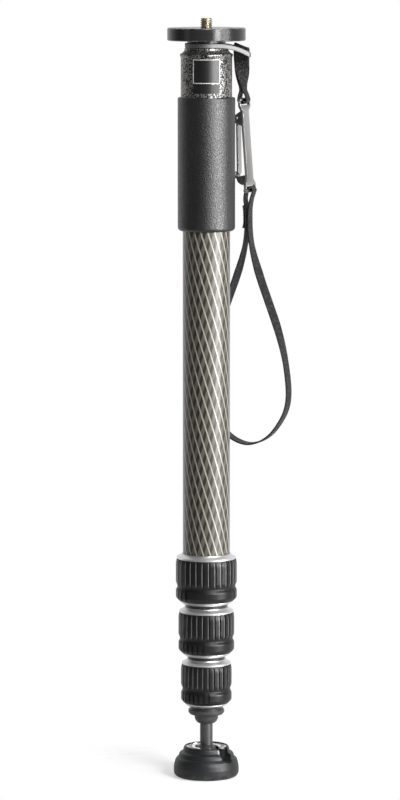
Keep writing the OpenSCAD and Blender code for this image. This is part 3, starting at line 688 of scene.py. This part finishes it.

# %% [markdown]
# ## Webbing
# Nylon webbing is a plain weave of thick yarns: ribs that cross the strap, over and under long yarns, with a
# firm edge at each side. The UV map counts metres along and across, so two waves give the weave at its real
# size, and the same weave gives colour and height. In the colour the yarns' crowns are painted lighter and
# the
# gaps between them darker: a painted highlight and painted shade on the weave. Here and there the yarns are
# worn pale.

# %% Webbing finish
PICK = 1.15 * MM
WARP = 1.5 * MM
FIRM_EDGE = (5.05 * MM, 5.6 * MM)
webbing = new_finish("black_webbing")
laid = webbing.node("ShaderNodeUVMap", uv_map="cloth")
along = webbing.node("ShaderNodeSeparateXYZ", {0: laid})
across = along.out(1)
pick = along / PICK
warp = across / WARP
odd = ((warp.math("FLOOR") + pick.math("FLOOR")) * 0.5).fract() * 2
yarn_a = 1 - abs(pick.fract() * 2 - 1)
yarn_b = 1 - abs(warp.fract() * 2 - 1)
weave = (yarn_a ** 0.6) * (yarn_b ** 0.6) * (odd * 0.55 + 0.45)
edge = webbing.step(abs(across), *FIRM_EDGE)
fuzz = webbing.grain(laid, 5200.0, detail=3.0)
worn = webbing.step(webbing.grain(laid, 480.0, detail=2.0), 0.5, 0.62)
# Painted highlight and shade: the weave lightens the colour on the yarns' crowns and darkens it in the gaps,
# as well as giving the bump its height.
lit = weave * (fuzz * 0.5 + 0.5)
web_colour = webbing.mix(lit * (worn * 1.9 + 0.1), grey(0.0008), grey(0.075, 0.06))
webbing_done = webbing.close(
    Base_Color=webbing.mix(edge * 0.6, web_colour, grey(0.012)), Roughness=fuzz * 0.25 + 0.5,
    Sheen_Weight=0.06, Sheen_Roughness=0.45, Specular_IOR_Level=0.3, Normal=webbing.bump(lit, 0.0005, 1.0),
)
for strip in (wrist, link):
    strip.data.materials.append(webbing_done)
print("yarns across the webbing:", round(WEB_W / WARP))

# %% [markdown]
# ## Clip, gate and rivet
# The snap clip is satin steel with a sprung gate on a rivet. The solids have its shape with sharp edges, and
# tumbled steel has none, so a merged copy of each gets a small bevel. The rivet is turned: a plain pin with a
# low dome at each end.

# %% Clip and gate
CLIP_EDGE = 0.35 * MM


def rounded_copy(name, source, body, width):
    """A copy of a solid: loose triangles merged, flat faces joined, each sharp edge cut to a small round."""
    mesh = NODES[source].data.copy()
    work = bmesh.new()
    work.from_mesh(mesh)
    bmesh.ops.remove_doubles(work, verts=work.verts, dist=1e-6)
    bmesh.ops.dissolve_limit(work, angle_limit=math.radians(1), verts=work.verts, edges=work.edges)
    work.to_mesh(mesh)
    work.free()
    mesh.materials.clear()
    piece = finish_mesh(name, mesh, body)
    bevel = piece.modifiers.new("edge", "BEVEL")
    bevel.width = width
    bevel.segments = 2
    bevel.limit_method = "ANGLE"
    bevel.angle_limit = math.radians(40)
    bevel.harden_normals = True
    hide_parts(source)
    return piece


clip = rounded_copy("clip_eased", "clip_body", "strap", CLIP_EDGE)
gate = rounded_copy("gate_eased", "clip_gate", "gate", CLIP_EDGE)
print("clip faces:", len(clip.data.polygons), "gate faces:", len(gate.data.polygons))

# %% Rivet
RIVET_R = 1.0 * MM
RIVET_HEAD_R = 1.9 * MM
RIVET_TIP_R = 0.02 * MM
RIVET_DOME = 0.8 * MM
RIVET_HALF = 4.45 * MM
GATE_PIVOT = np.array([-6.0, 57.0]) * MM


def on_axis(grid, place, axis):
    """Carries a grid that was turned about Z to another place, with its Z along an axis."""
    side = unit(np.cross(axis, UP))
    return place + grid[..., :1] * side + grid[..., 1:2] * np.cross(axis, side) + grid[..., 2:] * axis


def rivet_outline():
    """Radius and length along the rivet: a dome whose radius falls as a cosine, a pin, and the dome again."""
    rise = np.linspace(0, np.pi / 2, 7)
    dome = np.stack([RIVET_HEAD_R * np.cos(rise), RIVET_HALF + RIVET_DOME * np.sin(rise)], axis=1)
    dome[-1, 0] = RIVET_TIP_R
    half = np.concatenate([[[RIVET_R, RIVET_HALF]], dome])
    return np.concatenate([half[::-1] * [1, -1], half])


rivet_grid = on_axis(turned(rivet_outline(), 32), on_clip(*GATE_PIVOT), STRAP_WIDE)
rivet = grid_piece("gate_rivet", rivet_grid, "strap", caps=True)
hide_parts("gate_pin")
print("rivet faces:", len(rivet.data.polygons))

# %% [markdown]
# ## Sewn joint
# Where the long loop closes, its end is doubled under the clip, sewn through with rows of thick thread, and
# cut off. The cut end is one more short strip against the left strand. Each stitch is a tiny sausage, a
# circle carried along half a wave, and all the stitches of one face are a stack of grids.

# %% Sewn joint
TAIL_T = 1.15 * MM
TAIL_W = WEB_W - 1.6 * MM
TAIL_LINE = MM * np.array([[-3.1, 451.5], [-2.55, 447], [-2.3, 441], [-2.5, 437], [-3.3, 433.8]])
STITCH_L = 1.5 * MM
STITCH_R = 0.21 * MM
STITCH_GAP = 0.35 * MM
STITCH_COUNT = 6
OUTER_FACE = 1.95 * MM
TAIL_FACE = -3.05 * MM
STITCH_ROWS = MM * np.array([446.4, 443.6, 440.8, 438.0])
SEWN_WIDE = upright_wide(np.array(STRAP_TURN + WRAP_SKEW))
SEWN_OUT = np.cross(SEWN_WIDE, UP)


def on_sewn(u, z):
    """Points of the sewn joint's plane: distance out from the strap's middle, and height."""
    return STRAP_MID + np.multiply.outer(u, SEWN_OUT) + np.multiply.outer(z, UP)


def stitch_grids(face_u, rows):
    """Stitches across a strap face at some heights: along the stitch the thread rises by half a sine wave,
    and its radius fades at both ends."""
    share = np.linspace(0, 1, 7)
    ring = np.linspace(0, 2 * np.pi, 6, endpoint=False)
    across = (np.arange(STITCH_COUNT) - (STITCH_COUNT - 1) / 2) * (STITCH_L + STITCH_GAP)
    start, height = [part.ravel() for part in np.meshgrid(across, rows, indexing="ij")]
    v = start[:, None] + STITCH_L * (share - 0.5)
    rise = np.sign(face_u) * STITCH_R * (np.sin(np.pi * share) - 0.35)
    thin = STITCH_R * (0.3 + 0.7 * np.sin(np.pi * share) ** 0.5)
    u = face_u + rise[:, None] + thin[:, None] * np.cos(ring)
    z = height[:, None, None] + thin[:, None] * np.sin(ring)
    return on_sewn(np.broadcast_to(u, z.shape), z) + v[:, :, None, None] * SEWN_WIDE


tail_path = smooth_path(on_sewn(TAIL_LINE[:, 0], TAIL_LINE[:, 1]), 6, closed=False)
tail_run = length_along(tail_path, closed=False)
tail_profile = strip_profile(TAIL_W, TAIL_T)
tail_wide = np.broadcast_to(SEWN_WIDE, tail_path.shape)
tail_grid = sweep(tail_path, tail_wide, tail_profile, closed=False)
tail = grid_piece("sewn_tail", tail_grid, "strap", caps=True, uv=strap_uv(tail_run, tail_profile))
outer_grids = stitch_grids(OUTER_FACE, STITCH_ROWS)
stitch_outer = grid_piece("stitches_outer", outer_grids, "strap", caps=True)
tail_grids = stitch_grids(TAIL_FACE, STITCH_ROWS[1:3])
stitch_tail = grid_piece("stitches_tail", tail_grids, "strap", caps=True)
tail.data.materials.append(webbing_done)
print("tail length:", round(float(tail_run[-1]), 4), "stitches:", len(outer_grids) + len(tail_grids))

# %% [markdown]
# ## Finishes of the solids
# The other solids keep their shape and get a finish each. All patterns are in metres on the part itself:
# rings for what a lathe made, grains for what a mould made. One helper puts a finish on some solids, and two
# more write the finishes that come up again and again.

# %% Finish helpers
LATHE_LINE = 0.3 * MM
dressed = []


def dress(finish, *names):
    """Puts one finish on the solids of these names."""
    for name in names:
        for slot in NODES[name].material_slots:
            slot.material = finish
    dressed.extend(names)


def turned_metal(name, low, high, rough):
    """Turned metal: the rings of the lathe give colour, roughness and height, and a slow noise over the place
    adds the smudges of handling."""
    metal = new_finish(name)
    spot, x, y, z = metal.place()
    lines = metal.lathe_lines(x, y, z, 1 / LATHE_LINE)
    smudge = metal.grain(spot, 90.0, detail=3.0)
    return metal.close(
        Base_Color=metal.mix(lines, grey(low), grey(high)), Metallic=1.0,
        Roughness=lines * 0.12 + smudge * 0.12 + rough, Normal=metal.bump(lines, 0.00002, 0.4),
    )


def moulded(name, low, high, rough, grain_mm, depth_mm, warm=0.0):
    """Moulded plastic or rubber: a fine grain in height and roughness, and a slow drift in colour."""
    plastic = new_finish(name)
    spot = plastic.place()[0]
    fine = plastic.grain(spot, 1 / (grain_mm * MM))
    slow = plastic.grain(spot, 70.0, detail=3.0)
    return plastic.close(
        Base_Color=plastic.mix(slow * 0.6 + fine * 0.4, grey(low, warm), grey(high, warm)),
        Roughness=fine * 0.1 + slow * 0.1 + rough, Normal=plastic.bump(fine, depth_mm * MM, 0.6),
    )


print("solids to dress or replace:", len(NODES))

# %% [markdown]
# ## Head
# The plate is black anodised aluminium, turned, with its edge rubbed bright in places by the cameras that sat
# on it. The collar is cast and painted in a hammered finish: silver islands in black, about a millimetre
# across. On its front sit two bare gloss plates, the larger with a pale line round its edge.

# %% Camera plate
# Radius plus the distance from the plate's middle height is as large as this only at its two edges
PLATE_MID_Z = 585 * MM
PLATE_EDGE = (34.6 * MM, 35.0 * MM)
RUBBED_BARE = (0.5, 0.62)
anodised = new_finish("black_anodised")
spot, x, y, z = anodised.place()
lines = anodised.lathe_lines(x, y, z, 2600.0)
rub = anodised.grain(spot, 420.0, detail=4.0)
corner = anodised.step(from_axis(x, y) + abs(z - PLATE_MID_Z), *PLATE_EDGE)
bare = corner * anodised.step(rub, *RUBBED_BARE)
anodised_done = anodised.close(
    Base_Color=anodised.mix(bare, anodised.mix(lines, grey(0.016), grey(0.03)), grey(0.42)), Metallic=bare,
    Roughness=lines * 0.08 + rub * 0.06 + 0.15, Specular_IOR_Level=0.65,
    Normal=anodised.bump(lines, 0.00003, 0.5),
)
dress(anodised_done, "head_disc")
dress(turned_metal("dark_screws", 0.1, 0.2, rough=0.3), "disc_set_screws")
print("solids dressed:", dressed)

# %% Collar
ISLAND_EDGE = (0.495, 0.525)
hammered = new_finish("hammered_paint")
spot = hammered.place()[0]
blot = hammered.grain(spot, 760.0, detail=1.0, distortion=0.5)
fleck = hammered.grain(spot, 1700.0, detail=1.0)
silver = hammered.step(blot * 0.7 + fleck * 0.3, *ISLAND_EDGE)
hammered_done = hammered.close(
    Base_Color=hammered.mix(silver, grey(0.003, 0.05), grey(0.37, 0.03)), Metallic=silver * 0.85,
    Roughness=fleck * 0.2 + 0.28, Normal=hammered.bump(blot, 0.0003, 0.7),
)
dress(hammered_done, "head_collar")
print("solids dressed so far:", len(dressed))

# %% Plates on the collar
PLATE_LINE = 0.6 * MM
plate_low, plate_high = [[float(value) for value in corner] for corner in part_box("name_plate")]
gloss = new_finish("gloss_plate")
spot, x, y, z = gloss.place()
side_gap = plate_high[0] - abs(x)
end_gap = (z - plate_low[2]).math("MINIMUM", plate_high[2] - z)
edge = 1 - gloss.step(side_gap.math("MINIMUM", end_gap), PLATE_LINE * 0.85, PLATE_LINE)
specks = gloss.grain(spot, 1500.0, detail=3.0)
gloss_done = gloss.close(
    Base_Color=gloss.mix(edge, gloss.mix(specks, grey(0.004), grey(0.012)), grey(0.62)),
    Roughness=specks * 0.12 + 0.3, Normal=gloss.bump(edge, 0.00012, 0.8), Specular_IOR_Level=0.7,
)
dress(gloss_done, "name_plate")
strip_done = moulded("strip_gloss", 0.006, 0.014, rough=0.26, grain_mm=0.6, depth_mm=0.01)
dress(strip_done, "name_strip")
print("the larger plate is", round((plate_high[2] - plate_low[2]) / MM, 1), "mm high")

# %% [markdown]
# ## Grip
# The hand grip is a sleeve of dense foam rubber, dark and even, with a soft wide highlight. Three noises make
# it: a fine pore, a pebble of about a millimetre that breaks the highlight up, and a slow drift where hands
# have held it.

# %% Grip finish
foam = new_finish("grip_rubber")
spot = foam.place()[0]
pore = foam.grain(spot, 3200.0, detail=2.0)
pebble = foam.step(foam.grain(spot, 1000.0, detail=2.0), 0.35, 0.65)
handled = foam.grain(spot, 55.0, detail=4.0)
foam_done = foam.close(
    Base_Color=foam.mix(pore * 0.3 + pebble * 0.4 + handled * 0.3, grey(0.001), grey(0.013)),
    Roughness=pore * 0.1 + handled * 0.06 + 0.42 - pebble * 0.14, Specular_IOR_Level=0.95,
    Normal=foam.bump(pore * 0.4 + pebble * 0.6, 0.00016, 0.8),
)
dress(foam_done, "grip_sleeve")
print("solids dressed so far:", len(dressed))

# %% [markdown]
# ## Carbon tubes
# The tube is wound from flat tows of carbon under clear resin. Narrow bright tows run down to the right,
# wider grey tows run down to the left, and dark diamonds show where neither lies on top. The weave is real,
# but the pale and grey colours of its tows are painted sheen, standing in for the shine that the direction
# of the fibres gives. On the unrolled tube each family is a set of stripes of heading plus or minus height. A
# whole number of tows goes round, so the pattern closes on itself. The tows are partly metal in the shader,
# so they flare beside a soft box and stay dark away from it, as fibres do.

# %% Carbon finish
TUBE_R = np.array([18.5, 16.5, 14.5, 12.5]) * MM
TOW_PITCH = 5.535 * MM
TOW_TAN = 0.3145
NARROW_TOW = (0.07, 0.13)
BROAD_TOW = (0.245, 0.32)
RESIN_BAND = 4 * MM
RESIN_FADE = 0.4 * MM
RESIN = (0.006, 0.0048, 0.0034, 1)
BROAD_TOW_SHEEN = (0.11, 0.099, 0.074, 1)
NARROW_TOW_SHEEN = (0.44, 0.418, 0.355, 1)


def carbon(name, tube_radius, mouth):
    """Two families of stripes: the distance round plus and minus the height times a slope, over the pitch.
    Each stripe is where the part after the decimal point is near a half. Bare dark resin ends the stripes
    where the tube goes into its own fitting, at the height of the mouth."""
    tube = new_finish(name)
    spot, x, y, z = tube.place()
    count = round(2 * math.pi * tube_radius / TOW_PITCH)
    pitch = 2 * math.pi * tube_radius / count
    around = y.math("ARCTAN2", x) * (count / (2 * math.pi))
    climb = z * (TOW_TAN / pitch)
    fibre = tube.grain(spot, 1100.0, detail=3.0, stretch=(1.0, 1.0, 0.25))
    narrow = abs((around + climb).fract() - 0.5) + (fibre - 0.5) * 0.05
    broad = abs((around - climb).fract() - 0.5) + (fibre - 0.5) * 0.06
    woven = tube.step(z, mouth, mouth + RESIN_FADE)
    bright = (1 - tube.step(narrow, *NARROW_TOW)) * woven
    cover = (1 - tube.step(broad, *BROAD_TOW)) * woven
    grain = fibre * 0.5 + 0.75
    # Painted sheen: the narrow tows are painted pale and the broad tows grey, standing in for the shine that
    # the fibres' direction gives. The dark resin between them is the tube's own colour.
    colour = tube.mix(bright * grain, tube.mix(cover, RESIN, BROAD_TOW_SHEEN), NARROW_TOW_SHEEN)
    return tube.close(
        Base_Color=colour, Metallic=bright.math("MAXIMUM", cover * 0.8) * 0.35, Roughness=0.5 + fibre * 0.12,
        Normal=tube.bump(bright * 0.6 + cover * 0.3, 0.00005, 0.4),
        Coat_Weight=1.0, Coat_Roughness=0.36, Coat_IOR=1.5,
    )


for number, outer in enumerate(TUBE_R.tolist(), 1):
    fitting = "end_plug" if number == 4 else f"lock_{number}_bush"
    mouth = float(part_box(fitting)[1][2]) + (RESIN_BAND if number > 1 else 0)
    dress(carbon(f"carbon_{number}", outer, mouth), f"tube_{number}")
print("tows round each tube:", np.round(2 * np.pi * TUBE_R / TOW_PITCH).astype(int).tolist())

# %% [markdown]
# ## Twist locks
# Each lock is a rubber grip on an alloy nut, with a bright turned ring above it. The rubber's ribs are
# polished by hands on their crests and dusty in the grooves, and the radius alone says which is which. Above
# the waist of the grip every rib also has a pale line painted along one edge: a painted highlight, standing
# in for the light that the rib's rounded edge catches.

# %% Lock rubber
CREST_R = np.array([24.0, 22.0, 20.0]) * MM
RIB_COUNT = 30
RIB_DEPTH = 1.1 * MM
WAIST_Z = 11.2 * MM
WAIST_FADE = 3 * MM
RIB_HIGHLIGHT_START = (0.08, 0.13)
RIB_HIGHLIGHT_END = (0.2, 0.27)


def lock_rubber(name, crest, waist):
    """Ribbed rubber: the share of the way up to the crest's radius lightens and smooths the ribs. The painted
    edge highlight is where the heading over the ribs' pitch comes just before a groove, above the waist."""
    rubber = new_finish(name)
    spot, x, y, z = rubber.place()
    high = rubber.step(from_axis(x, y), crest - RIB_DEPTH, crest)
    fine = rubber.grain(spot, 2400.0)
    dust = rubber.grain(spot, 160.0, detail=4.0)
    # Painted highlight: a pale grey band along the edge of each rib that comes just before a groove, above
    # the waist, standing in for the light that the rib's rounded edge catches.
    before = 0.5 - (y.math("ARCTAN2", x) * (RIB_COUNT / (2 * math.pi)) + 0.5).fract()
    rim = rubber.step(before, *RIB_HIGHLIGHT_START) * (1 - rubber.step(before, *RIB_HIGHLIGHT_END))
    painted_rib_highlight = high * rim * rubber.step(z, waist, waist + WAIST_FADE)
    ribs = rubber.mix(high * 0.7 + dust * 0.3, grey(0.0015), grey(0.009))
    return rubber.close(
        Base_Color=rubber.mix(painted_rib_highlight * (dust * 0.8 + 0.3), ribs, grey(0.3)),
        Roughness=0.38 - high * 0.1 + fine * 0.1 + dust * 0.06, Normal=rubber.bump(fine, 0.00006, 0.6),
        Specular_IOR_Level=0.45,
    )


for number, crest in enumerate(CREST_R.tolist(), 1):
    waist = float(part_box(f"lock_{number}_grip")[0][2]) + WAIST_Z
    dress(lock_rubber(f"lock_rubber_{number}", crest, waist), f"lock_{number}_grip")
    seal = moulded(f"seal_rubber_{number}", 0.012, 0.03, rough=0.5, grain_mm=0.4, depth_mm=0.05)
    dress(seal, f"lock_{number}_seal")
print("rib pitch in mm:", np.round(2 * np.pi * CREST_R / RIB_COUNT / MM, 2).tolist())

# %% Lock metal and plastic
alloy = turned_metal("turned_alloy", 0.696, 0.912, rough=0.3)
acetal = moulded("white_acetal", 0.62, 0.74, rough=0.3, grain_mm=0.8, depth_mm=0.03, warm=0.02)
guide = moulded("black_guide", 0.015, 0.03, rough=0.35, grain_mm=0.5, depth_mm=0.04)
for number in (1, 2, 3):
    dress(alloy, f"lock_{number}_bush", f"lock_{number}_nut")
    dress(acetal, f"lock_{number}_collet")
    dress(guide, f"guide_{number + 1}")
print("solids dressed so far:", len(dressed))

# %% [markdown]
# ## Foot
# The shaft is blackened steel and carries its ball in a plastic liner, a metal cup and a metal ring, whose
# rims at the mouth are chromed while their insides stay dark. The pad is a hard dark rubber, matt, a little
# blue, and scuffed where it meets the ground. The walls of its slot are rougher, and painted nearly black as
# painted shade inside the slot.

# %% Shaft and cup
RIM_Z = (21.4 * MM, 22.6 * MM)
shaft = new_finish("blackened_steel")
spot, x, y, z = shaft.place()
turning = shaft.lathe_lines(x, y, z, 2000.0)
handled = shaft.grain(spot, 90.0, detail=3.0)
shaft_done = shaft.close(
    Base_Color=shaft.mix(turning * 0.5 + handled * 0.5, grey(0.08), grey(0.13)), Metallic=handled * 0.2 + 0.7,
    Roughness=turning * 0.04 + handled * 0.08 + 0.35, Normal=shaft.bump(turning, 0.00002, 0.4),
    Specular_IOR_Level=0.9,
)
dress(shaft_done, "foot_shaft")
chrome = new_finish("chrome_rims")
x, y, z = chrome.place()[1:]
lines = chrome.lathe_lines(x, y, z, 2500.0)
rim = chrome.step(z, *RIM_Z)
chrome_done = chrome.close(
    Base_Color=chrome.mix(rim, chrome.mix(lines, grey(0.03), grey(0.06)), grey(0.78)), Metallic=1.0,
    Roughness=lines * 0.08 + 0.42 - rim * 0.34, Normal=chrome.bump(lines, 0.00002, 0.4),
)
dress(chrome_done, "foot_cup", "cup_ring")
dress(acetal, "ball_seat")
dress(moulded("grey_end_plug", 0.035, 0.06, rough=0.3, grain_mm=0.5, depth_mm=0.04), "end_plug")
print("solids dressed so far:", len(dressed))

# %% Foot pad
SLOT_HALF = 5.6 * MM
SLOT_EDGE = (SLOT_HALF + 0.05 * MM, SLOT_HALF + 0.3 * MM)
SLOT_START = (6 * MM, 8 * MM)
SLOT_Z = 18.54 * MM
SLOT_TURN = math.radians(-42)
SLOT_SIDE = (-math.sin(SLOT_TURN), math.cos(SLOT_TURN))
SCUFF_Z = (1 * MM, 6 * MM)
PAD_DARK = (0.006, 0.0066, 0.0078, 1)
PAD_PALE = (0.014, 0.015, 0.0174, 1)
pad = new_finish("foot_rubber")
spot, x, y, z = pad.place()
fine = pad.grain(spot, 1900.0)
scuff = pad.grain(spot, 260.0, detail=5.0)
low = 1 - pad.step(z, *SCUFF_Z)
below = (z - SLOT_Z).math("MINIMUM", 0)
side = x * SLOT_SIDE[0] + y * SLOT_SIDE[1]
inner = (side * side + below * below) ** 0.5
beyond = x * SLOT_SIDE[1] - y * SLOT_SIDE[0]
# Painted shade: this mask paints the slot's walls nearly black, standing in for the shade inside the slot. It
# also makes them rougher.
shaded_slot_wall = (1 - pad.step(inner, *SLOT_EDGE)) * pad.step(beyond, *SLOT_START)
pad_colour = pad.mix(fine * 0.5 + scuff * 0.5, PAD_DARK, PAD_PALE)
scuffed = pad.mix(low * pad.step(scuff, 0.45, 0.65) * 0.5, pad_colour, grey(0.11, 0.03))
pad_done = pad.close(
    Base_Color=pad.mix(shaded_slot_wall * 0.9, scuffed, grey(0.001)),
    Roughness=fine * 0.1 + scuff * 0.12 + 0.34 + shaded_slot_wall * 0.4, Normal=pad.bump(fine, 0.0001, 0.6),
    Specular_IOR_Level=0.55,
)
dress(pad_done, "foot_pad")
print("solids dressed:", len(dressed), "of", len(NODES), "and the others are replaced")

# %% [markdown]
# ## Steel and thread of the strap
# The clip and its gate share one satin steel, brushed up and down, so its noise is drawn out along Z. The
# stitches are a dark twisted thread, a little paler than the webbing, so that the rows can be told apart.

# %% Clip finishes
satin = new_finish("satin_clip")
spot = satin.place()[0]
brush = satin.grain(spot, 700.0, detail=3.0, stretch=(1.0, 1.0, 0.12))
smudge = satin.grain(spot, 120.0, detail=3.0)
satin_done = satin.close(
    Base_Color=satin.mix(brush * 0.6 + smudge * 0.4, grey(0.42, 0.01), grey(0.66, 0.01)), Metallic=1.0,
    Roughness=brush * 0.14 + smudge * 0.1 + 0.2, Normal=satin.bump(brush, 0.00003, 0.5),
)
clip.data.materials.append(satin_done)
gate.data.materials.append(satin_done)
rivet.data.materials.append(turned_metal("rivet_steel", 0.25, 0.4, rough=0.22))
thread = new_finish("sewing_thread")
twine = thread.grain(thread.place()[0], 5000.0, stretch=(1.0, 1.0, 0.4))
thread_done = thread.close(
    Base_Color=thread.mix(twine, grey(0.012), grey(0.05)), Roughness=twine * 0.2 + 0.5,
    Normal=thread.bump(twine, 0.0001, 0.6), Sheen_Weight=0.3,
)
stitch_outer.data.materials.append(thread_done)
stitch_tail.data.materials.append(thread_done)
print("finishes:", len(bpy.data.materials))

# %% [markdown]
# ## Webbing length
# The lengths of the two pieces of webbing, the long loop and the short one, are added and printed.

# %% Webbing length
print("webbing in all:", round(float(wrist_run[-1] + link_run[-1]), 3))
